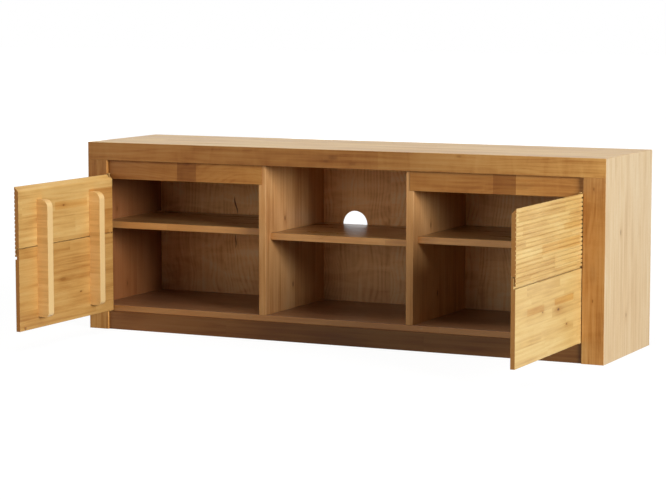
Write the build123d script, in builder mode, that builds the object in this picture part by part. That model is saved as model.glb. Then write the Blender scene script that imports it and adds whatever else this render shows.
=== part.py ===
"""Low media cabinet of solid wood with two ribbed doors on pivot pins.

Millimetres, +Z up, +Y to the back. The origin is on the floor, under the middle of the
cabinet's footprint. The doors are modelled standing open, square to the front.
"""

import os

from build123d import *

# Cabinet
overall_width = 1600.0
overall_depth = 396.0
overall_height = 552.0
board = 20.0
divider_board = 22.0
bottom_board = 18.0
back_board = 4.0
arris = 1.0
joint_ease = 0.6

# Front frame, the strips set behind it and the bays
stile_width = 63.0
rail_height = 52.0
fascia_height = 55.5
fascia_recess = 10.5
fascia_end_gap = 3.0
carcase_recess = 12.0
plinth_recess = 6.5
rear_plinth_inset = 30.0
floor_height = 71.0
middle_bay_width = 437.0

# Shelves
side_shelf_top = 316.0
middle_shelf_top = 305.0
shelf_recess = 44.0
shelf_end_play = 0.5
shelf_back_play = 4.0
cable_gap = 20.0
shelf_pin_radius = 2.5
shelf_pin_bite = 9.0
shelf_pin_reach = 8.0
shelf_pin_inset = 45.0

# Back
back_rebate = 10.0
cable_hole_radius = 40.0
cable_hole_x = -115.0
cable_hole_height = 302.5
screw_radius = 1.75
screw_head_radius = 3.5
screw_length = 24.0
screw_margin = 60.0

# Dowels
dowel_radius = 4.0
divider_dowel_half = 18.0
divider_dowel_bite = 12.0
dowel_row_inset = 90.0
batten_dowel_bite = 7.0
batten_dowel_reach = 16.0
batten_dowel_inset = 30.0

# Doors
door_thickness = 13.0
door_proud = 5.0
door_overlap = 13.5
door_lift = 4.0
hinge_gap = 1.8
door_end_gap = 0.5
hinge_chamfer = 3.0
bevel_drop = 13.0
bevel_round = 8.0
lap_height = 200.5
lip_thickness = 3.4
lap_slot = 2.6
lap_groove = 7.5
lap_length = 21.0
lap_gap = 2.6
lower_board_recess = 1.0
rib_count = 17
flute_width = 3.4
flute_depth = 2.2
batten_width = 27.0
batten_depth = 35.0
hinge_batten_inset = 115.0
free_batten_inset = 105.0
batten_foot = 31.0
batten_head = 41.0
foot_round = 12.0
head_round = 22.0

# Pivots and catches
pivot_edge = 6.0
pivot_front = 6.5
pin_radius = 2.0
pin_end_play = 0.5
running_clearance = 0.05
bush_radius = 3.0
bush_length = 18.0
collar_radius = 4.5
collar_clearance = 0.3
plate_thickness = 2.0
plate_eye_radius = 4.5
plate_clearance = 1.0
plate_edge = 2.0
plate_width = 8.0
plate_bite = 25.0
catch_radius = 3.5
catch_bite = 6.0
strike_bite = 3.0
catch_gap = 0.4
catch_inset = 25.0
catch_rise = 7.0

# Planes and limits of the carcase
half_width = overall_width / 2
front_y = -overall_depth / 2
back_y = overall_depth / 2
inner_half = half_width - board
inner_front = front_y + board
inner_top = overall_height - board
back_face = back_y - back_board
stile_face = half_width - stile_width
rail_bottom = overall_height - rail_height
fascia_bottom = rail_bottom - fascia_height
fascia_front = front_y + fascia_recess
fascia_back = fascia_front + board
fascia_end = stile_face - fascia_end_gap
carcase_front = front_y + carcase_recess
plinth_front_y = front_y + plinth_recess
plinth_back_y = plinth_front_y + board
rear_plinth_y = back_face - rear_plinth_inset - board
floor_bottom = floor_height - bottom_board
divider_inner = middle_bay_width / 2
divider_outer = divider_inner + divider_board
divider_middle = (divider_inner + divider_outer) / 2
shelf_front = front_y + shelf_recess
side_shelf_bottom = side_shelf_top - board
middle_shelf_bottom = middle_shelf_top - board

# Limits of a door, which stands open with its front face square to the cabinet's front
pivot_x = stile_face - hinge_gap - pivot_edge
pivot_y = front_y - door_proud + pivot_front
door_face = pivot_x + pivot_front
door_back = door_face - door_thickness
hinge_y = pivot_y + pivot_edge
door_width = stile_face - hinge_gap - divider_outer - door_end_gap
door_bottom = floor_bottom + door_lift
door_top = fascia_bottom + door_overlap
shoulder_z = door_bottom + lap_height
lip_bottom = shoulder_z + lap_groove
rib_pitch = (door_top - (shoulder_z + lip_bottom) / 2) / rib_count
tongue_top = lip_bottom + lap_length
upper_back_bottom = tongue_top + lap_gap
batten_bottom = door_bottom + batten_foot
batten_top = door_top - batten_head
batten_places = {"hinge": hinge_batten_inset, "free": door_width - free_batten_inset}
bevel_slope = bevel_drop / door_thickness
upper_bush_top = door_top - bevel_slope * (pivot_front + bush_radius)
upper_bush_bottom = upper_bush_top - bush_length
lower_bush_top = door_bottom + bush_length
upper_plate_z = door_top + plate_clearance
lower_plate_z = door_bottom - plate_clearance - plate_thickness
catch_z = door_bottom + catch_rise
closed_back_y = front_y - door_proud + door_thickness
strike_reach = carcase_front - closed_back_y - catch_gap

# Mitres: the front frame, the sides and the top meet along these planes at the outer arrises
corner_right = (half_width, front_y, overall_height)
corner_left = (-half_width, front_y, overall_height)
mitre_front_right = Plane(origin=corner_right, z_dir=(1, 1, 0))
mitre_front_left = Plane(origin=corner_left, z_dir=(-1, 1, 0))
mitre_top_right = Plane(origin=corner_right, z_dir=(1, 0, -1))
mitre_top_left = Plane(origin=corner_left, z_dir=(-1, 0, -1))
mitre_top_front = Plane(origin=corner_right, z_dir=(0, 1, 1))

# A door's section plane: heights run along its x, depths behind the door's front along its y
door_section = Plane(origin=(door_face, hinge_y, 0), x_dir=(0, 0, 1), z_dir=(0, -1, 0))
door_back_plane = Plane(origin=(door_back, hinge_y, 0), x_dir=(0, -1, 0), z_dir=(-1, 0, 0))


def block(x_span, y_span, z_span, mode=Mode.ADD):
    """Box between two limits along each axis, in the part being built."""
    with Locations((x_span[0], y_span[0], z_span[0])):
        Box(
            x_span[1] - x_span[0],
            y_span[1] - y_span[0],
            z_span[1] - z_span[0],
            align=(Align.MIN, Align.MIN, Align.MIN),
            mode=mode,
        )


def rods(plane, points, radius, length, mode=Mode.ADD):
    """Round rods, or bores, that run from points of a plane along its normal."""
    with BuildSketch(plane) as section:
        with Locations(*points):
            Circle(radius)
    extrude(section.sketch, amount=length, mode=mode)


def save(piece, name):
    """Label a piece and write it under its name."""
    piece.part.label = name
    export_step(piece.part, f"parts/{name}.step")


def save_pair(piece, name):
    """Write a piece of the right half and its mirror image in the left half."""
    save(piece, f"{name}_right")
    with BuildPart() as mirrored:
        mirror(piece.part, about=Plane.YZ)
    save(mirrored, f"{name}_left")


def back_recess(mode):
    """The space of the back panel, which lies in a rebate of the sides and the top."""
    rebate_half = inner_half + back_rebate
    block((-rebate_half, rebate_half), (back_face, back_y), (floor_bottom, inner_top + back_rebate), mode)


def back_screws(mode):
    """Countersunk screws through the back, into the sides and the dividers."""
    plane = Plane.XZ.offset(-back_y)
    rebate_middle = inner_half + back_rebate / 2
    low = floor_height + screw_margin
    high = inner_top - screw_margin
    levels = (low, (low + high) / 2, high)
    columns = (-rebate_middle, -divider_middle, divider_middle, rebate_middle)
    points = [(x, z) for x in columns for z in levels]
    rods(plane, points, screw_radius, screw_length, mode)
    with BuildSketch(plane) as heads:
        with Locations(*points):
            Circle(screw_head_radius)
    extrude(heads.sketch, amount=screw_head_radius - screw_radius, taper=45, mode=mode)


def shelf_pins(mode, sides=(-1, 1)):
    """Pins under the ends of the shelves, half of each in a side or a divider."""
    front = shelf_front + shelf_pin_inset
    rear = back_face - cable_gap - shelf_pin_inset
    length = shelf_pin_bite + shelf_pin_reach
    side_z = side_shelf_bottom - shelf_pin_radius
    middle_z = middle_shelf_bottom - shelf_pin_radius
    side_points = [(y, side_z) for y in (front, rear)]
    middle_points = [(y, middle_z) for y in (front, rear)]
    for side in sides:
        wall = side * (inner_half - shelf_pin_reach) - length * (side < 0)
        outer = side * (divider_outer - shelf_pin_bite) - length * (side < 0)
        inner = side * (divider_inner - shelf_pin_reach) - length * (side < 0)
        rods(Plane.YZ.offset(wall), side_points, shelf_pin_radius, length, mode)
        rods(Plane.YZ.offset(outer), side_points, shelf_pin_radius, length, mode)
        rods(Plane.YZ.offset(inner), middle_points, shelf_pin_radius, length, mode)


def divider_dowels(mode):
    """Dowels between the dividers and the panels under and over them."""
    points = [
        (side * divider_middle, y)
        for side in (-1, 1)
        for y in (carcase_front + dowel_row_inset, back_face - dowel_row_inset)
    ]
    length = divider_dowel_bite + divider_dowel_half
    rods(Plane.XY.offset(floor_height - divider_dowel_bite), points, dowel_radius, length, mode)
    rods(Plane.XY.offset(inner_top - divider_dowel_half), points, dowel_radius, length, mode)


def pivot_plates(mode, radius=plate_eye_radius):
    """Plates of the right door: an eye on the pivot and a tail that runs into the stile."""
    for z in (lower_plate_z, upper_plate_z):
        rods(Plane.XY.offset(z), [(pivot_x, pivot_y)], radius, plate_thickness, mode)
        tail_y = (front_y + plate_edge, front_y + plate_edge + plate_width)
        block((pivot_x, stile_face + plate_bite), tail_y, (z, z + plate_thickness), mode)


def pivot_pins(mode):
    """Pins of the right door, from the plates into the bushes."""
    pivot = [(pivot_x, pivot_y)]
    lower_length = lower_bush_top - pin_end_play - lower_plate_z
    upper_end = upper_bush_bottom + pin_end_play
    upper_length = upper_plate_z + plate_thickness - upper_end
    rods(Plane.XY.offset(lower_plate_z), pivot, pin_radius, lower_length, mode)
    rods(Plane.XY.offset(upper_end), pivot, pin_radius, upper_length, mode)


def batten_dowels(mode):
    """Dowels that hold the boards of the right door to its battens."""
    heights = (
        batten_bottom + batten_dowel_inset,
        shoulder_z - batten_dowel_inset,
        upper_back_bottom + batten_dowel_inset,
        batten_top - batten_dowel_inset,
    )
    points = [(along, z) for along in batten_places.values() for z in heights]
    length = batten_dowel_bite + batten_dowel_reach
    rods(door_back_plane.offset(-batten_dowel_bite), points, dowel_radius, length, mode)


os.makedirs("parts", exist_ok=True)

# Outer shape with its eased arrises, which trims the pieces of the shell
with BuildPart() as envelope:
    block((-half_width, half_width), (front_y, back_y), (0, overall_height))
    chamfer(envelope.edges().filter_by(lambda edge: edge.center().Z > arris), arris)

# Shell: top, sides and the front frame, mitred to each other
with BuildPart() as top_panel:
    block((-half_width, half_width), (front_y, back_y), (inner_top, overall_height))
    split(bisect_by=mitre_top_right, keep=Keep.BOTTOM)
    split(bisect_by=mitre_top_left, keep=Keep.BOTTOM)
    split(bisect_by=mitre_top_front, keep=Keep.TOP)
    back_recess(Mode.SUBTRACT)
    divider_dowels(Mode.SUBTRACT)
    add(envelope.part, mode=Mode.INTERSECT)
save(top_panel, "top_panel")

with BuildPart() as side:
    block((inner_half, half_width), (front_y, back_y), (0, overall_height))
    split(bisect_by=mitre_front_right, keep=Keep.TOP)
    split(bisect_by=mitre_top_right, keep=Keep.TOP)
    back_recess(Mode.SUBTRACT)
    back_screws(Mode.SUBTRACT)
    shelf_pins(Mode.SUBTRACT, sides=(1,))
    add(envelope.part, mode=Mode.INTERSECT)
save_pair(side, "side")

with BuildPart() as top_rail:
    block((-half_width, half_width), (front_y, inner_front), (rail_bottom, overall_height))
    split(bisect_by=mitre_front_right, keep=Keep.BOTTOM)
    split(bisect_by=mitre_front_left, keep=Keep.BOTTOM)
    split(bisect_by=mitre_top_front, keep=Keep.BOTTOM)
    lower_front = top_rail.edges().filter_by(Axis.X).group_by(Axis.Z)[0].sort_by(Axis.Y)[0]
    chamfer(lower_front, joint_ease)
    add(envelope.part, mode=Mode.INTERSECT)
save(top_rail, "top_rail")

with BuildPart() as stile:
    block((stile_face, half_width), (front_y, inner_front), (0, rail_bottom))
    split(bisect_by=mitre_front_right, keep=Keep.BOTTOM)
    upper_front = stile.edges().filter_by(Axis.X).group_by(Axis.Z)[-1].sort_by(Axis.Y)[0]
    inner_edge = stile.edges().filter_by(Axis.Z).group_by(Axis.X)[0].sort_by(Axis.Y)[0]
    chamfer([upper_front, inner_edge], joint_ease)
    pivot_plates(Mode.SUBTRACT)
    add(envelope.part, mode=Mode.INTERSECT)
save_pair(stile, "stile")

# Carcase: floor, dividers, fascias and the plinth
with BuildPart() as bottom_panel:
    block((-inner_half, inner_half), (carcase_front, back_face), (floor_bottom, floor_height))
    chamfer(bottom_panel.edges().filter_by(Axis.X).group_by(Axis.Y)[0], arris)
    for span in ((-inner_half, -stile_face), (stile_face, inner_half)):
        block(span, (carcase_front, inner_front), (floor_bottom, floor_height), Mode.SUBTRACT)
    divider_dowels(Mode.SUBTRACT)
    catch_x = divider_outer + door_end_gap + catch_inset
    catch_points = [(-catch_x, catch_z), (catch_x, catch_z)]
    rods(Plane.XZ.offset(-carcase_front - catch_bite), catch_points, catch_radius, catch_bite, Mode.SUBTRACT)
save(bottom_panel, "bottom_panel")

with BuildPart() as catch_magnets:
    rods(Plane.XZ.offset(-carcase_front - catch_bite), catch_points, catch_radius, catch_bite)
save(catch_magnets, "catch_magnets")

with BuildPart() as divider:
    block((divider_inner, divider_outer), (carcase_front, back_face), (floor_height, inner_top))
    chamfer(divider.edges().filter_by(Axis.Z).group_by(Axis.Y)[0], arris)
    block(
        (divider_inner, divider_outer),
        (carcase_front, inner_front),
        (rail_bottom, inner_top),
        Mode.SUBTRACT,
    )
    block(
        (divider_middle, divider_outer),
        (carcase_front, fascia_back),
        (fascia_bottom, rail_bottom),
        Mode.SUBTRACT,
    )
    back_screws(Mode.SUBTRACT)
    divider_dowels(Mode.SUBTRACT)
    shelf_pins(Mode.SUBTRACT, sides=(1,))
save_pair(divider, "divider")

with BuildPart() as dowels:
    divider_dowels(Mode.ADD)
save(dowels, "divider_dowels")

with BuildPart() as fascia:
    block((divider_middle, fascia_end), (fascia_front, inner_front), (fascia_bottom, rail_bottom))
    lower_front = fascia.edges().filter_by(Axis.X).group_by(Axis.Z)[0].sort_by(Axis.Y)[0]
    chamfer(lower_front, arris)
    block((divider_middle, inner_half), (inner_front, fascia_back), (fascia_bottom, rail_bottom))
save_pair(fascia, "fascia")

with BuildPart() as plinth_front:
    block((-stile_face, stile_face), (plinth_front_y, plinth_back_y), (0, floor_bottom))
save(plinth_front, "plinth_front")

with BuildPart() as plinth_rear:
    block((-inner_half, inner_half), (rear_plinth_y, rear_plinth_y + board), (0, floor_bottom))
save(plinth_rear, "plinth_rear")

with BuildPart() as plinth_bearer:
    block((-board / 2, board / 2), (plinth_back_y, rear_plinth_y), (0, floor_bottom))
save(plinth_bearer, "plinth_bearer")

# Back panel with its cable hole
with BuildPart() as back_panel:
    back_recess(Mode.ADD)
    back_screws(Mode.SUBTRACT)
    hole_centre = [(cable_hole_x, cable_hole_height)]
    rods(Plane.XZ.offset(-back_y), hole_centre, cable_hole_radius, back_board, Mode.SUBTRACT)
save(back_panel, "back_panel")

with BuildPart() as screws:
    back_screws(Mode.ADD)
save(screws, "back_screws")

# Shelves on their pins
with BuildPart() as side_shelf:
    block(
        (divider_outer + shelf_end_play, inner_half - shelf_end_play),
        (shelf_front, back_face - shelf_back_play),
        (side_shelf_bottom, side_shelf_top),
    )
    chamfer(side_shelf.edges().filter_by(Axis.X).group_by(Axis.Y)[0], arris)
save_pair(side_shelf, "shelf")

with BuildPart() as middle_shelf:
    middle_half = divider_inner - shelf_end_play
    block(
        (-middle_half, middle_half),
        (shelf_front, back_face - cable_gap),
        (middle_shelf_bottom, middle_shelf_top),
    )
    chamfer(middle_shelf.edges().filter_by(Axis.X).group_by(Axis.Y)[0], arris)
save(middle_shelf, "shelf_middle")

with BuildPart() as pins:
    shelf_pins(Mode.ADD)
save(pins, "shelf_pins")

# Pivots of the doors, fixed in the stiles
with BuildPart() as plates:
    pivot_plates(Mode.ADD)
    pivot_pins(Mode.SUBTRACT)
save_pair(plates, "pivot_plates")

with BuildPart() as pivots:
    pivot_pins(Mode.ADD)
save_pair(pivots, "pivot_pins")

# Door: a fluted upper board whose lip laps over the tongue of the plain lower board
hinge_corner = Plane(
    origin=(door_face, hinge_y - hinge_chamfer, 0),
    x_dir=(0, 0, 1),
    z_dir=(1, 1, 0),
)

with BuildPart() as upper_board:
    with BuildSketch(door_section) as upper_section:
        with BuildLine():
            Polyline(
                (lip_bottom, 0),
                (door_top, 0),
                (door_top - bevel_drop, door_thickness),
                (upper_back_bottom, door_thickness),
                (upper_back_bottom, lip_thickness),
                (lip_bottom, lip_thickness),
                close=True,
            )
        make_face()
        bevel_foot = upper_section.vertices().group_by(Axis.Y)[-1].sort_by(Axis.X)[-1]
        fillet(bevel_foot, bevel_round)
    extrude(amount=door_width)
    with BuildSketch(door_section):
        with Locations(*[(door_top - rib_pitch * step, 0) for step in range(1, rib_count)]):
            SlotOverall(2 * flute_depth, flute_width, rotation=90)
    extrude(amount=door_width, mode=Mode.SUBTRACT)
    split(bisect_by=hinge_corner, keep=Keep.BOTTOM)
    bore_height = door_top - upper_bush_bottom
    rods(Plane.XY.offset(upper_bush_bottom), [(pivot_x, pivot_y)], bush_radius, bore_height, Mode.SUBTRACT)
    batten_dowels(Mode.SUBTRACT)
save_pair(upper_board, "door_upper_board")

with BuildPart() as lower_board:
    with BuildSketch(door_section):
        with BuildLine():
            Polyline(
                (door_bottom, lower_board_recess),
                (shoulder_z, lower_board_recess),
                (shoulder_z, lip_thickness + lap_slot),
                (tongue_top, lip_thickness + lap_slot),
                (tongue_top, door_thickness),
                (door_bottom, door_thickness),
                close=True,
            )
        make_face()
    extrude(amount=door_width)
    split(bisect_by=hinge_corner, keep=Keep.BOTTOM)
    rods(Plane.XY.offset(door_bottom), [(pivot_x, pivot_y)], bush_radius, bush_length, Mode.SUBTRACT)
    batten_dowels(Mode.SUBTRACT)
    strike_point = [(door_width - catch_inset, catch_z)]
    rods(door_back_plane.offset(-strike_bite), strike_point, catch_radius, strike_bite, Mode.SUBTRACT)
save_pair(lower_board, "door_lower_board")

for place, along in batten_places.items():
    with BuildPart() as batten:
        with BuildSketch(door_section.offset(along - batten_width / 2)) as batten_section:
            with Locations(((batten_bottom + batten_top) / 2, door_thickness + batten_depth / 2)):
                Rectangle(batten_top - batten_bottom, batten_depth)
            fillet(batten_section.vertices().group_by(Axis.Y)[-1].sort_by(Axis.X)[0], foot_round)
            fillet(batten_section.vertices().group_by(Axis.Y)[-1].sort_by(Axis.X)[-1], head_round)
        extrude(amount=batten_width)
        batten_dowels(Mode.SUBTRACT)
    save_pair(batten, f"door_batten_{place}")

with BuildPart() as door_dowels:
    batten_dowels(Mode.ADD)
save_pair(door_dowels, "door_dowels")

with BuildPart() as bushes:
    pivot = [(pivot_x, pivot_y)]
    bore_radius = pin_radius + running_clearance
    collar_height = plate_clearance - collar_clearance
    rods(Plane.XY.offset(door_bottom), pivot, bush_radius, bush_length)
    rods(Plane.XY.offset(door_bottom - collar_height), pivot, collar_radius, collar_height)
    rods(Plane.XY.offset(upper_bush_bottom), pivot, bush_radius, bush_length)
    rods(Plane.XY.offset(lower_plate_z), pivot, bore_radius, door_top - lower_plate_z, Mode.SUBTRACT)
save_pair(bushes, "door_bushes")

with BuildPart() as strike:
    strike_length = strike_bite + strike_reach
    rods(door_back_plane.offset(-strike_bite), strike_point, catch_radius, strike_length)
save_pair(strike, "door_strike")
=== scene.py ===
import math

import bpy
import numpy as np
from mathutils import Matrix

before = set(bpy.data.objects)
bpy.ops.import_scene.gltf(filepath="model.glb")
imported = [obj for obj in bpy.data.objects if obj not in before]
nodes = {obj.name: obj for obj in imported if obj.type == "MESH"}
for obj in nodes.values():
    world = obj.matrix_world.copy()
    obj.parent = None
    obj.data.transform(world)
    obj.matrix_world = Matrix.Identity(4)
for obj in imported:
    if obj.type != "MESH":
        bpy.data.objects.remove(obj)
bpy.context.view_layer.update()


# Plinth: three lengths of solid wood on edge, which carry the floor of the cabinet.
# The front one is glued in between the stiles, with its grain along the front.
# Oiled wood of glued staves is the finish of nearly every board, so it is worked out here.
def bench(tree):
    """Gives the four hands that set up a shader: any node, arithmetic, a mix of colours, a run."""

    def node(kind, inputs=None, out=0, **settings):
        made = tree.nodes.new(kind)
        for key, value in settings.items():
            setattr(made, key, value)
        for key, value in (inputs or {}).items():
            if isinstance(value, bpy.types.NodeSocket):
                tree.links.new(value, made.inputs[key])
            else:
                made.inputs[key].default_value = value
        return made.outputs[out]

    def calc(operation, a, b=0.0, c=0.0):
        return node("ShaderNodeMath", {0: a, 1: b, 2: c}, operation=operation)

    def blend(share, a, b, how="MIX"):
        """Mixes two colours, which go into the node at 6 and 7 and come out at 2."""
        return node("ShaderNodeMix", {0: share, 6: a, 7: b}, out=2, data_type="RGBA",
                    blend_type=how)

    def rise(value, start, end, top=1.0, **settings):
        """Runs from zero, where the value is at its start, to the top, where it is at its end."""
        limits = {"Value": value, "From Min": start, "From Max": end, "To Max": top}
        return node("ShaderNodeMapRange", limits, **settings)

    return node, calc, blend, rise


def blank(name):
    """New material with an empty node tree, and the four hands that fill it."""
    material = bpy.data.materials.new(name)
    material.use_nodes = True
    material.node_tree.nodes.clear()
    return material, *bench(material.node_tree)


def coat(owner, kind, shader):
    """Links a shader to a new output of the material or world that it belongs to."""
    out = owner.node_tree.nodes.new(kind)
    owner.node_tree.links.new(shader, out.inputs[0])


def opaque(colour):
    """The colour with nothing shining through it."""
    return (*colour, 1.0)


def shades(tone):
    """Dark, middle and pale shade of a wood: the dark one is redder, the pale one is creamier."""
    redder, creamier, palest = (0.70, 0.57, 0.44), (1.13, 1.28, 1.55), 0.95
    tone = np.array(tone)
    return tone * redder, tone, np.minimum(tone * creamier, palest)


X, Y, Z = 0, 1, 2


def oiled_wood(name, along, across, stave, length, tone, seed, spread=0.20, contrast=1.0,
               arches=(0.08, 67.0, 1.6, 6.0), flame=0.0, knots=(), splits=(), patches=(),
               fade=None, ends=None, lines=0.25, flute_end_shade=None, groove_dust_and_shade=0.0, matt=0.40, polish=0.20):
    """Oiled wood of glued staves, from where a point lies along (u), across (v) and through (w).

    A stave is the whole part of v over its width and of u over its length, each row shifted by
    its own random share. Each stave shifts the noise that is stretched along u, and moves along
    the run of shades within the spread. Arches (weight, rings a metre, noise along, noise across)
    are growth rings, dark where the sine of v plus a slow noise is high. Flame is noise that runs
    across the grain. A knot (u, v, radius, depth) is dark where (u / 2.4)^2 + v^2 is below its
    radius squared, and the grain darkens towards it. A split (from u, to u, from v, to v, half
    width) is a dark line with a slow sway, as wide as 1 - t^2 for t from -1 to 1 along it.
    A patch multiplies the colour between its limits of u, v and w. A fade does so along u, fully
    at its first u and not at all at its second. Faces across the grain, where the normal lies
    along u, take the share and colour of the ends. Flute end shade (top, pitch, half height,
    from u, from w) is painted shade: dark spots at even steps of v below a top, where the gap
    behind an edge shows through the flutes. Dust and painted shade darken what lies in narrow
    grooves, where little light reaches.
    """
    material, node, calc, blend, rise = blank(name)
    dark, middle, pale = shades(tone)
    through = X + Y + Z - along - across
    place = node("ShaderNodeTexCoord", out="Object")
    parts = node("ShaderNodeSeparateXYZ", {0: place}).node.outputs
    u, v, w = (parts[axis] for axis in (along, across, through))

    # Staves and their own random numbers
    row_shift, stave_shifts = 7.0, (41.0, 67.0, 29.0)
    v_steps = calc("DIVIDE", v, stave)
    row = calc("FLOOR", v_steps)
    row_lot = node("ShaderNodeTexWhiteNoise", {"W": calc("ADD", row, seed)}, noise_dimensions="1D")
    u_steps = calc("ADD", calc("DIVIDE", u, length), calc("MULTIPLY", row_lot, row_shift))
    cell = node("ShaderNodeCombineXYZ", {0: row, 1: calc("FLOOR", u_steps), 2: seed})
    chance = node("ShaderNodeTexWhiteNoise", {"Vector": cell}, out="Color", noise_dimensions="3D")
    lots = node("ShaderNodeSeparateColor", {0: chance}).node.outputs
    shifts = [calc("MULTIPLY", lots[axis], shift) for axis, shift in enumerate(stave_shifts)]

    def grain(u_rate, v_rate, detail, rough, bend=0.0):
        """Noise drawn out along the grain, at rates per metre, shifted by the stave's own lots."""
        runs = zip((u, v, w), (u_rate, v_rate, v_rate), shifts)
        point = node("ShaderNodeCombineXYZ", {
            axis: calc("MULTIPLY_ADD", *run) for axis, run in enumerate(runs)})
        return node("ShaderNodeTexNoise", {"Vector": point, "Scale": 1.0, "Detail": detail,
                                           "Roughness": rough, "Distortion": bend})

    def off_middle(steps):
        """How far a point lies from the middle of its step, which is one half at the ends."""
        return calc("ABSOLUTE", calc("SUBTRACT", calc("FRACT", steps), 0.5))

    streak = grain(u_rate=2.6, v_rate=110.0, detail=5.0, rough=0.62, bend=0.25)
    figure = grain(u_rate=3.4, v_rate=20.0, detail=3.0, rough=0.55, bend=1.3)
    cloud = grain(u_rate=4.5, v_rate=10.0, detail=2.0, rough=0.5, bend=0.4)
    pore = grain(u_rate=80.0, v_rate=1500.0, detail=2.0, rough=0.5)

    # Where a point lies in the run of shades, from dark at 0 to pale at 1
    weights = ((streak, 0.80), (figure, 0.42), (cloud, 0.60))
    shade = calc("MULTIPLY_ADD", lots[0], spread, 0.5 - spread / 2)
    for noise, weight in weights:
        shade = calc("MULTIPLY_ADD", calc("SUBTRACT", noise, 0.5), weight * contrast, shade)
    ring_weight, ring_rate, arch_along, arch_across = arches
    arch_swing, ring_edge, ring_start, ring_full = 62.0, 2.0, 0.38, 0.68
    turns = calc("MULTIPLY", v, 2.0 * math.pi * ring_rate)
    slow = grain(arch_along, arch_across, detail=1.0, rough=0.5)
    wave = calc("SINE", calc("MULTIPLY_ADD", slow, arch_swing, turns))
    ring = calc("POWER", calc("MULTIPLY_ADD", wave, 0.5, 0.5), ring_edge)
    ring = calc("MULTIPLY", ring, rise(figure, ring_start, ring_full))
    shade = calc("MULTIPLY_ADD", ring, -ring_weight * contrast, shade)
    if flame:
        flames = grain(u_rate=26.0, v_rate=7.0, detail=3.0, rough=0.6, bend=0.8)
        shade = calc("MULTIPLY_ADD", calc("SUBTRACT", flames, 0.5), flame, shade)
    mark = 0.0
    knot_stretch, knot_waver, core_edge, core_full = 2.4, 1.1, 1.0, 0.3
    halo_fall, halo_weight = -0.6, -0.5
    for u_knot, v_knot, radius, depth in knots:
        du = calc("DIVIDE", calc("SUBTRACT", u, u_knot), knot_stretch * radius)
        dv = calc("DIVIDE", calc("SUBTRACT", v, v_knot), radius)
        far = calc("SQRT", calc("ADD", calc("MULTIPLY", du, du), calc("MULTIPLY", dv, dv)))
        far = calc("MULTIPLY_ADD", calc("SUBTRACT", streak, 0.5), knot_waver, far)
        halo = calc("EXPONENT", calc("MULTIPLY", far, halo_fall))
        shade = calc("MULTIPLY_ADD", halo, halo_weight * depth, shade)
        core = rise(far, core_edge, core_full, depth, interpolation_type="SMOOTHSTEP")
        mark = calc("MAXIMUM", mark, core)
    sway_rate, sway_width, soft_edge = 120.0, 0.0018, 0.0005
    for u_from, u_to, v_from, v_to, half in splits:
        share = calc("DIVIDE", calc("SUBTRACT", u, u_from), u_to - u_from)
        middle_v = calc("MULTIPLY_ADD", share, v_to - v_from, v_from)
        t = calc("MULTIPLY_ADD", share, 2.0, -1.0)
        wide = calc("MULTIPLY", calc("SUBTRACT", 1.0, calc("MULTIPLY", t, t)), half)
        sway = calc("MULTIPLY", calc("SINE", calc("MULTIPLY", u, sway_rate)), sway_width)
        off = calc("ABSOLUTE", calc("SUBTRACT", calc("SUBTRACT", v, middle_v), sway))
        mark = calc("MAXIMUM", mark, rise(calc("SUBTRACT", wide, off), -soft_edge, soft_edge))

    dark_until, pale_from = 0.12, 0.88
    run = node("ShaderNodeValToRGB", {0: shade}).node
    first, last = run.color_ramp.elements
    first.position, first.color = dark_until, opaque(dark)
    last.position, last.color = pale_from, opaque(pale)
    run.color_ramp.elements.new(0.5).color = opaque(middle)
    colour = run.outputs[0]

    # Other boards and faces, and the ends of the grain
    for *limits, factor in patches:
        inside = 1.0
        for value, (low, high) in zip((u, v, w), limits):
            inside = calc("MULTIPLY", inside, calc("GREATER_THAN", value, low))
            inside = calc("MULTIPLY", inside, calc("LESS_THAN", value, high))
        colour = blend(inside, colour, opaque(factor), "MULTIPLY")
    if fade:
        (u_full, u_none), factor = fade
        colour = blend(rise(u, u_none, u_full), colour, opaque(factor), "MULTIPLY")
    normal = node("ShaderNodeTexCoord", out="Normal")
    facing = node("ShaderNodeSeparateXYZ", {0: normal}).node.outputs
    end_share, end_tone = ends or (0.30, dark)
    end_start, end_full = 0.6, 0.9
    end = rise(calc("ABSOLUTE", facing[along]), end_start, end_full, end_share)
    colour = blend(end, colour, opaque(end_tone))

    # Glue lines between staves, pores, knots, painted shade at flute ends, and dust with painted
    # shade in grooves
    glue_half, glue_dark = 0.00035, 0.45
    side_line = calc("GREATER_THAN", off_middle(v_steps), 0.5 - glue_half / stave)
    end_line = calc("GREATER_THAN", off_middle(u_steps), 0.5 - glue_half / length)
    line = calc("MULTIPLY", calc("MAXIMUM", side_line, end_line), lines)
    colour = blend(line, colour, opaque(dark * glue_dark))
    pore_start, pore_full, pore_share, pore_dark = 0.60, 0.74, 0.30, 0.5
    pores = rise(pore, pore_start, pore_full)
    colour = blend(calc("MULTIPLY", pores, pore_share), colour, opaque(dark * pore_dark))
    mark_share = 0.9
    if knots or splits:
        knot_brown = (0.130, 0.040, 0.008)
        colour = blend(calc("MULTIPLY", mark, mark_share), colour, opaque(knot_brown))
    # Painted shade: dark spots at the flute ends by the hinge edge, where the dark gap behind the
    # door shows through.
    if flute_end_shade:
        flute_end_shade_brown = (0.060, 0.020, 0.006)
        top, pitch, half, u_from, w_from = flute_end_shade
        flutes = calc("DIVIDE", calc("SUBTRACT", v, top), pitch)
        spot = calc("GREATER_THAN", off_middle(flutes), 0.5 - half / pitch)
        spot = calc("MULTIPLY", spot, calc("LESS_THAN", v, top - pitch / 2))
        spot = calc("MULTIPLY", spot, calc("GREATER_THAN", u, u_from))
        spot = calc("MULTIPLY", spot, calc("GREATER_THAN", calc("ABSOLUTE", w), w_from))
        colour = blend(calc("MULTIPLY", spot, mark_share), colour, opaque(flute_end_shade_brown))
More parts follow.
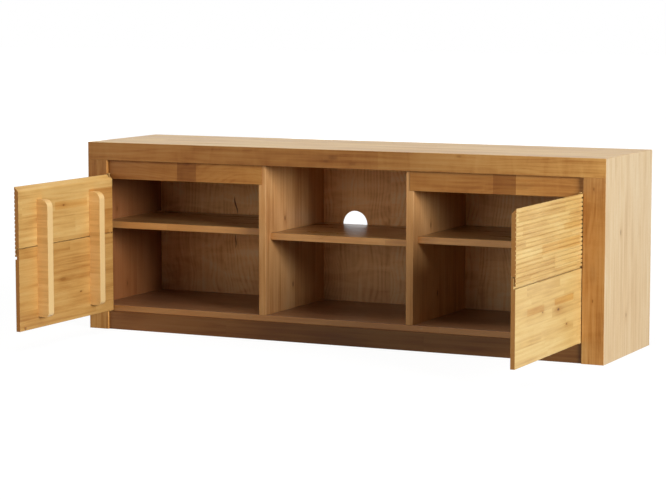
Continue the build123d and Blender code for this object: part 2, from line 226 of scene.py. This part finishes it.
    # Dust and painted shade: ambient occlusion darkens the flutes, the lap groove and the corners
    # by the battens.
    if groove_dust_and_shade:
        groove_dust_and_shade_brown = (0.13, 0.045, 0.008)
        groove_reach, groove_start, groove_full = 0.006, 0.85, 0.45
        sky = node("ShaderNodeAmbientOcclusion", {"Distance": groove_reach}, out="AO", samples=6,
                   only_local=True)
        colour = blend(rise(sky, groove_start, groove_full, groove_dust_and_shade), colour, opaque(groove_dust_and_shade_brown))

    # Handled arrises: rounded a little, rubbed paler, and given a painted highlight where the
    # rounding catches light
    arris_radius, rub_start, rub_full, rub_share, rub_and_highlight_pale = 0.0013, 0.985, 0.80, 0.22, 1.15
    eased = node("ShaderNodeBevel", {"Radius": arris_radius}, samples=4)
    flat = node("ShaderNodeNewGeometry", out="Normal")
    turned = node("ShaderNodeVectorMath", {0: eased, 1: flat}, out="Value",
                  operation="DOT_PRODUCT")
    rubbed_and_highlit = calc("MULTIPLY", rise(turned, rub_start, rub_full), rub_share)
    colour = blend(rubbed_and_highlit, colour, opaque(np.minimum(pale * rub_and_highlight_pale, 1.0)))

    # Pores and glue lines lie a little low, and pores and figure differ in gloss
    pore_depth, line_depth, figure_gloss, pore_gloss = 0.8, 2.0, 0.22, 0.12
    height = calc("MULTIPLY_ADD", pores, -pore_depth, streak)
    height = calc("SUBTRACT", height, calc("MULTIPLY", line, line_depth))
    relief = node("ShaderNodeBump", {"Strength": 0.22, "Distance": 0.0004, "Height": height,
                                     "Normal": eased})
    rough = calc("MULTIPLY_ADD", calc("SUBTRACT", figure, 0.5), figure_gloss, matt)
    rough = calc("MULTIPLY_ADD", pores, pore_gloss, rough)
    shader = node("ShaderNodeBsdfPrincipled", {
        "Base Color": colour, "Roughness": rough, "Normal": relief, "IOR": 1.48,
        "Specular IOR Level": polish})
    coat(material, "ShaderNodeOutputMaterial", shader)
    return material


def dress(material, *names):
    """Gives the material to CAD nodes."""
    for name in names:
        for slot in nodes[name].material_slots:
            slot.material = material


plinth_wood = oiled_wood(
    "plinth_wood", X, Z, stave=0.060, length=0.62, tone=(0.210, 0.082, 0.022), seed=3.0,
    # Darker towards the middle and the right: partly the wood's tone, partly painted shade of the
    # open right door.
    contrast=1.5, fade=((0.0, -0.55), (0.80, 0.84, 0.78)))
dress(plinth_wood, "plinth_front", "plinth_rear", "plinth_bearer")

# Bottom panel: one wide board of staves glued side by side, the floor of all three bays.
# Two magnets in brown plastic cups are pressed flush into its front edge,
# where the strikes of the closed doors come to lie.
everywhere = (-1.0, 1.0)
front_edge = (-1.0, -0.1855)
floor_wood = oiled_wood(
    "floor_wood", X, Y, stave=0.045, length=0.60, tone=(0.285, 0.132, 0.058), seed=11.0,
    # Painted shade and light: the top inside the bays takes a darker tone than the front edge,
    # which is made much paler.
    patches=((everywhere, front_edge, everywhere, (1.48, 1.40, 0.90)),), matt=0.34, polish=0.35)
dress(floor_wood, "bottom_panel")


def brown_plastic(name, colour):
    """Moulded plastic: fine even noise speckles the colour and makes a low, matt relief."""
    fleck_rate, fleck_dark, gloss_swing, matt = 2200.0, 0.8, 0.2, 0.45
    material, node, calc, blend, _ = blank(name)
    place = node("ShaderNodeTexCoord", out="Object")
    fleck = node("ShaderNodeTexNoise", {"Vector": place, "Scale": fleck_rate, "Detail": 2.0})
    tint = blend(fleck, opaque(np.array(colour) * fleck_dark), opaque(colour))
    relief = node("ShaderNodeBump", {"Strength": 0.15, "Distance": 0.0001, "Height": fleck})
    rough = calc("MULTIPLY_ADD", fleck, gloss_swing, matt)
    shader = node("ShaderNodeBsdfPrincipled", {"Base Color": tint, "Normal": relief,
                                               "Roughness": rough})
    coat(material, "ShaderNodeOutputMaterial", shader)
    return material


catch_plastic = brown_plastic("catch_plastic", (0.44, 0.215, 0.065))
dress(catch_plastic, "catch_magnets", "door_strike_right", "door_strike_left")

# Dividers: two upright boards between the bays, notched at the top for the rail and the fascias.
# Beech dowels, glued into their ends, hold them to the panels under and over them.
unjointed = 9.0
divider_wood = oiled_wood(
    "divider_wood", Z, Y, stave=0.045, length=unjointed, tone=(0.57, 0.30, 0.115), seed=21.0,
    contrast=1.3, patches=((everywhere, front_edge, everywhere, (1.03, 0.95, 0.83)),),
    knots=((0.3395, -0.0634, 0.0045, 1.0), (0.141, -0.0128, 0.004, 1.0)))
dress(divider_wood, "divider_right", "divider_left")
dowel_wood = oiled_wood(
    "dowel_wood", Z, X, stave=0.05, length=0.8, tone=(0.64, 0.40, 0.18), seed=5.0)
dress(dowel_wood, "divider_dowels", "door_dowels_right", "door_dowels_left")

# Sides: upright boards of narrow staves that run from the floor to the top, paler than the front,
# partly by painted light.
# Their front and top edges are mitred and glued, so that only an arris shows at the corners.
# Their inner faces are darker and redder than the outer ones: a shaded copy of the wood that
# paints the shade inside the bays.
inner_faces = (-0.785, 0.785)
side_wood = oiled_wood(
    "side_wood", Z, Y, stave=0.042, length=unjointed, tone=(0.672, 0.490, 0.275), seed=31.0,
    spread=0.06, contrast=0.9, fade=((0.05, 0.50), (0.97, 0.93, 0.86)), lines=0.05,
    knots=((0.3443, -0.0692, 0.0045, 0.7), (0.1126, -0.0143, 0.004, 0.7)),
    # Painted shade: a darker, redder copy of the wood on the inner faces.
    patches=((everywhere, everywhere, inner_faces, (0.45, 0.24, 0.15)),))
dress(side_wood, "side_right", "side_left")

# Stiles and top rail: the front frame. The rail runs the whole length in two boards that meet
# right of the middle, the left one darker and knotty. Each stile is one upright board.
# The right one has two small knots and a dark cloud. Painted light brightens the left one's inner
# face and arris, where light from the right falls.
one_board = 1.0
frame_arches = (0.14, 62.0, 2.6, 9.0)
left_board = (-1.0, 0.1385)
rail_wood = oiled_wood(
    "rail_wood", X, Z, stave=one_board, length=unjointed, tone=(0.585, 0.293, 0.0765), seed=44.0,
    spread=0.05, contrast=1.6, flame=0.5, arches=frame_arches,
    # Paler towards its right end: partly the board's tone, partly painted light from the lamp on
    # the right.
    fade=((0.20, 0.74), (0.625, 0.550, 0.513)),
    patches=((left_board, everywhere, everywhere, (0.92, 0.87, 0.83)),),
    knots=((0.000, 0.529, 0.009, 0.5), (-0.022, 0.519, 0.005, 0.5), (0.060, 0.514, 0.006, 0.3),
           (0.380, 0.545, 0.005, 0.4), (-0.030, 0.526, 0.018, 0.15)))
dress(rail_wood, "top_rail")
right_stile = oiled_wood(
    "stile_right_wood", Z, X, stave=one_board, length=unjointed, tone=(0.492, 0.236, 0.0652),
    seed=52.0, spread=0.05, contrast=1.6, flame=0.45, arches=frame_arches,
    # Paler at its foot: partly the board's tone, partly painted light.
    fade=((0.02, 0.13), (1.12, 1.13, 1.12)),
    knots=((0.4701, 0.7667, 0.0028, 0.6), (0.1709, 0.7672, 0.0028, 0.6),
           (0.2420, 0.7660, 0.0150, 0.18)))
dress(right_stile, "stile_right")
# Painted light: the left stile's inner face by its arris is made paler where light from the right
# falls on it.
painted_light_face = (-0.7374, -0.7366)
left_stile = oiled_wood(
    "stile_left_wood", Z, X, stave=one_board, length=unjointed, tone=(0.465, 0.220, 0.056),
    seed=57.0, spread=0.05, contrast=1.6, flame=0.45, arches=frame_arches,
    # Darker upwards from its foot: partly the board's tone, partly painted shade of the open left
    # door.
    fade=((0.48, 0.05), (0.72, 0.64, 0.60)),
    patches=((everywhere, painted_light_face, everywhere, (1.9, 2.2, 2.6)),))
dress(left_stile, "stile_left")

# Top: one board of staves that run the whole length, mitred and glued into the rail and the sides.
# It is the most exposed board; its paler tone is partly painted light, standing for how pale the
# lit top looks.
top_wood = oiled_wood(
    "top_wood", X, Y, stave=0.045, length=1.10, tone=(0.68, 0.417, 0.146), seed=63.0,
    contrast=1.5, lines=0.15, polish=0.5)
dress(top_wood, "top_panel")

# Fascias: strips set back over the door openings, finger-jointed from short lengths.
# One darker length shows in each of them. Their outer ends lap behind the stiles,
# and their inner ends are let into the dividers.
right_dark, right_pale = (0.476, 0.542), (0.542, 0.800)
left_dark, left_half = (-0.5055, -0.4427), (-1.0, 0.0)
fascia_wood = oiled_wood(
    "fascia_wood", X, Z, stave=one_board, length=unjointed, tone=(0.388, 0.160, 0.0345),
    seed=71.0, contrast=1.4, flame=0.4, arches=(0.20, 62.0, 3.6, 12.0),
    # The left fascia darkens towards its outer end: partly the wood's tone, partly painted shade.
    knots=((0.562, 0.470, 0.016, 0.20),), fade=((-0.72, -0.24), (0.615, 0.566, 0.636)),
    patches=((right_dark, everywhere, everywhere, (0.74, 0.650, 0.54)),
             (right_pale, everywhere, everywhere, (1.265, 1.345, 1.41)),
             (left_dark, everywhere, everywhere, (0.675, 0.59, 0.515)),
             (left_half, everywhere, everywhere, (1.14, 1.17, 1.14))))
dress(fascia_wood, "fascia_right", "fascia_left")

# Back: a thin board with upright grain in rebates of the sides and the top, with a round
# cable hole. Its face is wild-grained and split in the left bay.
# Countersunk steel screws hold it.
back_wood = oiled_wood(
    "back_wood", Z, X, stave=0.28, length=unjointed, tone=(0.95, 0.54, 0.225), seed=84.0,
    spread=0.06, contrast=0.8, flame=0.8, arches=(0.36, 78.0, 5.0, 6.5),
    # Darker towards the floor: painted shade low in the bays.
    fade=((0.08, 0.20), (0.66, 0.64, 0.66)),
    splits=((0.371, 0.316, -0.522, -0.512, 0.0026), (0.255, 0.211, -0.517, -0.520, 0.0019)))
dress(back_wood, "back_panel")


def drawn_metal(name, colour, matt, rate):
    """Plain metal: fine noise drawn out one way moves the roughness and the height of the face."""
    draw, hair_dark, gloss_swing = 0.06, 0.82, 0.2
    material, node, calc, blend, _ = blank(name)
    place = node("ShaderNodeTexCoord", out="Object")
    drawn = node("ShaderNodeMapping", {"Vector": place, "Scale": (rate, rate * draw, rate)})
    hair = node("ShaderNodeTexNoise", {"Vector": drawn, "Scale": 1.0, "Detail": 3.0})
    tint = blend(hair, opaque(np.array(colour) * hair_dark), opaque(colour))
    relief = node("ShaderNodeBump", {"Strength": 0.1, "Distance": 0.0001, "Height": hair})
    rough = calc("MULTIPLY_ADD", hair, gloss_swing, matt - gloss_swing / 2)
    shader = node("ShaderNodeBsdfPrincipled", {"Base Color": tint, "Metallic": 1.0,
                                               "Normal": relief, "Roughness": rough})
    coat(material, "ShaderNodeOutputMaterial", shader)
    return material


screw_steel = drawn_metal("screw_steel", (0.55, 0.54, 0.52), matt=0.35, rate=3000.0)
dress(screw_steel, "back_screws", "shelf_pins")

# Shelves: loose boards of glued staves with the grain along the cabinet.
# They lie on steel pins in bored holes, and the middle one stops short of the back for cables.
shelf_edge = (-1.0, -0.1535)
shelf_wood = oiled_wood(
    "shelf_wood", X, Y, stave=0.045, length=0.70, tone=(0.41, 0.213, 0.074), seed=92.0,
    # Painted shade and light: the shelf tops take a darker tone than their front edges, which are
    # made much paler.
    patches=((everywhere, shelf_edge, everywhere, (1.55, 1.45, 1.32)),), matt=0.30, polish=0.35)
dress(shelf_wood, "shelf_right", "shelf_middle", "shelf_left")

# Pivots: bronzed steel plates let into the stiles, with a pin riveted in each.
# The pins turn in brass bushes that are pressed into the doors' edges.
pivot_bronze = drawn_metal("pivot_bronze", (0.36, 0.21, 0.075), matt=0.45, rate=2500.0)
dress(pivot_bronze, "pivot_plates_right", "pivot_plates_left",
      "pivot_pins_right", "pivot_pins_left")
bush_brass = drawn_metal("bush_brass", (0.50, 0.33, 0.13), matt=0.38, rate=2500.0)
dress(bush_brass, "door_bushes_right", "door_bushes_left")

# Door boards: a fluted board over a plain one, both of short staves finger-jointed end to end
# and glued in narrow rows, yellower than the cabinet.
# The flutes are cut along the grain with a round-nosed cutter. Dark spots at their ends by the
# hinge edge are painted shade of the gap behind them.
end_grain = (0.85, (0.31, 0.110, 0.018))
shaded_flute_ends = (0.458, 0.011574, 0.0021, -0.2000, 0.7325)
upper_right = oiled_wood(
    "door_upper_right_wood", Y, Z, stave=0.035, length=0.34, tone=(0.70, 0.455, 0.158),
    seed=102.0, spread=0.05, contrast=1.3, lines=0.04, ends=end_grain, flute_end_shade=shaded_flute_ends,
    groove_dust_and_shade=0.30,
    patches=(((-0.500, -0.215), (0.325, 0.350), everywhere, (0.94, 0.84, 0.70)),
             ((-0.338, -0.199), (0.372, 0.390), everywhere, (0.94, 0.86, 0.74))))
dress(upper_right, "door_upper_board_right")
lower_right = oiled_wood(
    "door_lower_right_wood", Y, Z, stave=0.0255, length=0.24, tone=(0.69, 0.460, 0.168),
    seed=111.0, spread=0.05, contrast=1.1, lines=0.04, ends=end_grain, groove_dust_and_shade=1.0,
    patches=(((-0.402, -0.258), (0.182, 0.200), everywhere, (0.90, 0.75, 0.55)),
             ((-0.600, -0.480), (0.178, 0.197), everywhere, (0.94, 0.84, 0.70))),
    knots=((-0.3733, 0.1693, 0.0050, 1.0), (-0.3096, 0.1233, 0.0032, 1.0),
           (-0.4895, 0.176, 0.003, 0.8)))
dress(lower_right, "door_lower_board_right")
upper_left = oiled_wood(
    "door_upper_left_wood", Y, Z, stave=0.060, length=0.60, tone=(0.665, 0.400, 0.131),
    seed=133.0, spread=0.05, contrast=1.4, lines=0.03, ends=end_grain, flute_end_shade=shaded_flute_ends,
    groove_dust_and_shade=0.30,
    patches=(((-0.320, -0.190), (0.250, 0.424), everywhere, (0.84, 0.69, 0.55)),
             ((-0.500, -0.330), (0.378, 0.402), everywhere, (0.92, 0.80, 0.65))),
    knots=((-0.5874, 0.3622, 0.0030, 0.8), (-0.4551, 0.3897, 0.0024, 0.8)))
dress(upper_left, "door_upper_board_left")
lower_left = oiled_wood(
    "door_lower_left_wood", Y, Z, stave=0.064, length=0.60, tone=(0.585, 0.318, 0.092),
    seed=147.0, spread=0.05, contrast=1.5, lines=0.03, ends=end_grain, groove_dust_and_shade=1.0,
    knots=((-0.3688, 0.1333, 0.0030, 0.8), (-0.4635, 0.1794, 0.008, 0.3)))
dress(lower_left, "door_lower_board_left")

# Battens: two upright bars on the back of each door, dowelled and glued, which keep it flat.
# They are sawn from a wide board across its staves, so that their broad sides show the grain
# running outwards and their front edges show its ends. The ends are given a paler copy of the
# wood: partly their own tone, partly painted light on the faces turned to the lamp on the right.
batten_wood = oiled_wood(
    "batten_wood", X, Z, stave=0.06, length=0.60, tone=(0.80, 0.480, 0.168), seed=123.0,
    # The ends' paler colour is partly painted light.
    spread=0.10, lines=0.0, ends=(0.85, (0.87, 0.615, 0.290)))
dress(batten_wood, "door_batten_hinge_right", "door_batten_hinge_left",
      "door_batten_free_right", "door_batten_free_left")


# Studio: a plain pale floor in a white room. Both show white to the eye and in gloss,
# and give little light. Five round soft lamps light the cabinet: a strong one far to the right,
# weaker ones to the left, in front and above, and one behind, which is kept out of the gloss.
def floor_grid(half, count):
    """Flat square: x and y run over even steps from minus to plus its half length, z is zero."""
    steps = np.linspace(-half, half, count)
    x, y = np.meshgrid(steps, steps)
    points = np.stack([x, y, np.zeros_like(x)], -1).reshape(-1, 3)
    corner = (np.arange(count - 1)[:, None] * count + np.arange(count - 1)).ravel()
    faces = np.stack([corner, corner + 1, corner + count + 1, corner + count], -1)
    mesh = bpy.data.meshes.new("studio_floor")
    mesh.from_pydata(points.tolist(), [], faces.tolist())
    return mesh


def seen(node, calc):
    """One where the eye, gloss or glass sees the surface, zero for the light that it gives off."""
    rays = node("ShaderNodeLightPath").node.outputs
    direct = calc("MAXIMUM", rays["Is Camera Ray"], rays["Is Glossy Ray"])
    return calc("MAXIMUM", direct, rays["Is Transmission Ray"])


white = (1.0, 1.0, 1.0)
floor = bpy.data.objects.new("studio_floor", floor_grid(half=30.0, count=9))
bpy.context.scene.collection.objects.link(floor)
paper, node, calc, _, _ = blank("studio_paper")
floor_grey, shadow_reach, open_reach, shadow_white = (0.13, 0.13, 0.13), 1.0, 4.0, 0.92
spot = node("ShaderNodeTexCoord", out="Object")
reach = node("ShaderNodeVectorMath", {0: spot}, out="Value", operation="LENGTH")
glow = node("ShaderNodeMapRange", {
    "Value": reach, "From Min": shadow_reach, "From Max": open_reach, "To Min": shadow_white,
    "To Max": 1.0}, interpolation_type="SMOOTHSTEP")
matt = node("ShaderNodeBsdfDiffuse", {"Color": opaque(floor_grey)})
lit = node("ShaderNodeEmission", {"Color": opaque(white),
                                  "Strength": calc("MULTIPLY", glow, seen(node, calc))})
coat(paper, "ShaderNodeOutputMaterial", node("ShaderNodeAddShader", {0: matt, 1: lit}))
floor.data.materials.append(paper)

room = bpy.data.worlds.new("studio_room")
bpy.context.scene.world = room
room.use_nodes = True
room.node_tree.nodes.clear()
node, calc, _, _ = bench(room.node_tree)
room_light = 0.12
strength = calc("MULTIPLY_ADD", seen(node, calc), 1.0 - room_light, room_light)
walls = node("ShaderNodeBackground", {"Color": opaque(white), "Strength": strength})
coat(room, "ShaderNodeOutputWorld", walls)


def soft_lamp(name, turn, lift, away, size, power, shine=True):
    """Round lamp that faces the cabinet, so many degrees right of the front and above the floor.

    A lamp that doesn't shine is left out of reflections.
    """
    aim_height = 0.25
    lamp = bpy.data.lights.new(name, "AREA")
    lamp.shape = "DISK"
    lamp.size = size
    lamp.energy = power
    turn, lift = math.radians(turn), math.radians(lift)
    holder = bpy.data.objects.new(name, lamp)
    holder.location = (away * math.sin(turn) * math.cos(lift),
                       -away * math.cos(turn) * math.cos(lift),
                       away * math.sin(lift) + aim_height)
    holder.rotation_euler = (math.pi / 2 - lift, 0.0, turn)
    holder.visible_glossy = shine
    bpy.context.scene.collection.objects.link(holder)


soft_lamp("key_lamp", turn=64.0, lift=13.0, away=9.0, size=3.6, power=800.0)
soft_lamp("fill_lamp", turn=-58.0, lift=12.0, away=8.0, size=2.6, power=150.0)
soft_lamp("front_lamp", turn=-9.0, lift=8.0, away=9.0, size=3.0, power=64.0)
soft_lamp("top_lamp", turn=20.0, lift=80.0, away=7.0, size=4.0, power=160.0)
soft_lamp("rear_lamp", turn=212.0, lift=7.0, away=9.0, size=3.6, power=260.0, shine=False)

# Camera: a long lens a metre above the floor, well right of the front and tilted slightly down.
# Its place and lens were fitted to the corners of the cabinet in the photograph.
sensor_width, picture_width, focal_length = 36.0, 666.0, 2252.6
tilt_down, turn_left = 0.1124, 0.4488
eye = bpy.data.cameras.new("camera")
eye.sensor_width = sensor_width
eye.lens = sensor_width * focal_length / picture_width
eye.clip_end = 200.0
camera = bpy.data.objects.new("camera", eye)
camera.location = (2.7223, -5.8498, 0.9788)
camera.rotation_euler = (math.pi / 2 - tilt_down, 0.0, turn_left)
bpy.context.scene.collection.objects.link(camera)
bpy.context.scene.camera = camera
bpy.context.scene.view_settings.view_transform = "Standard"
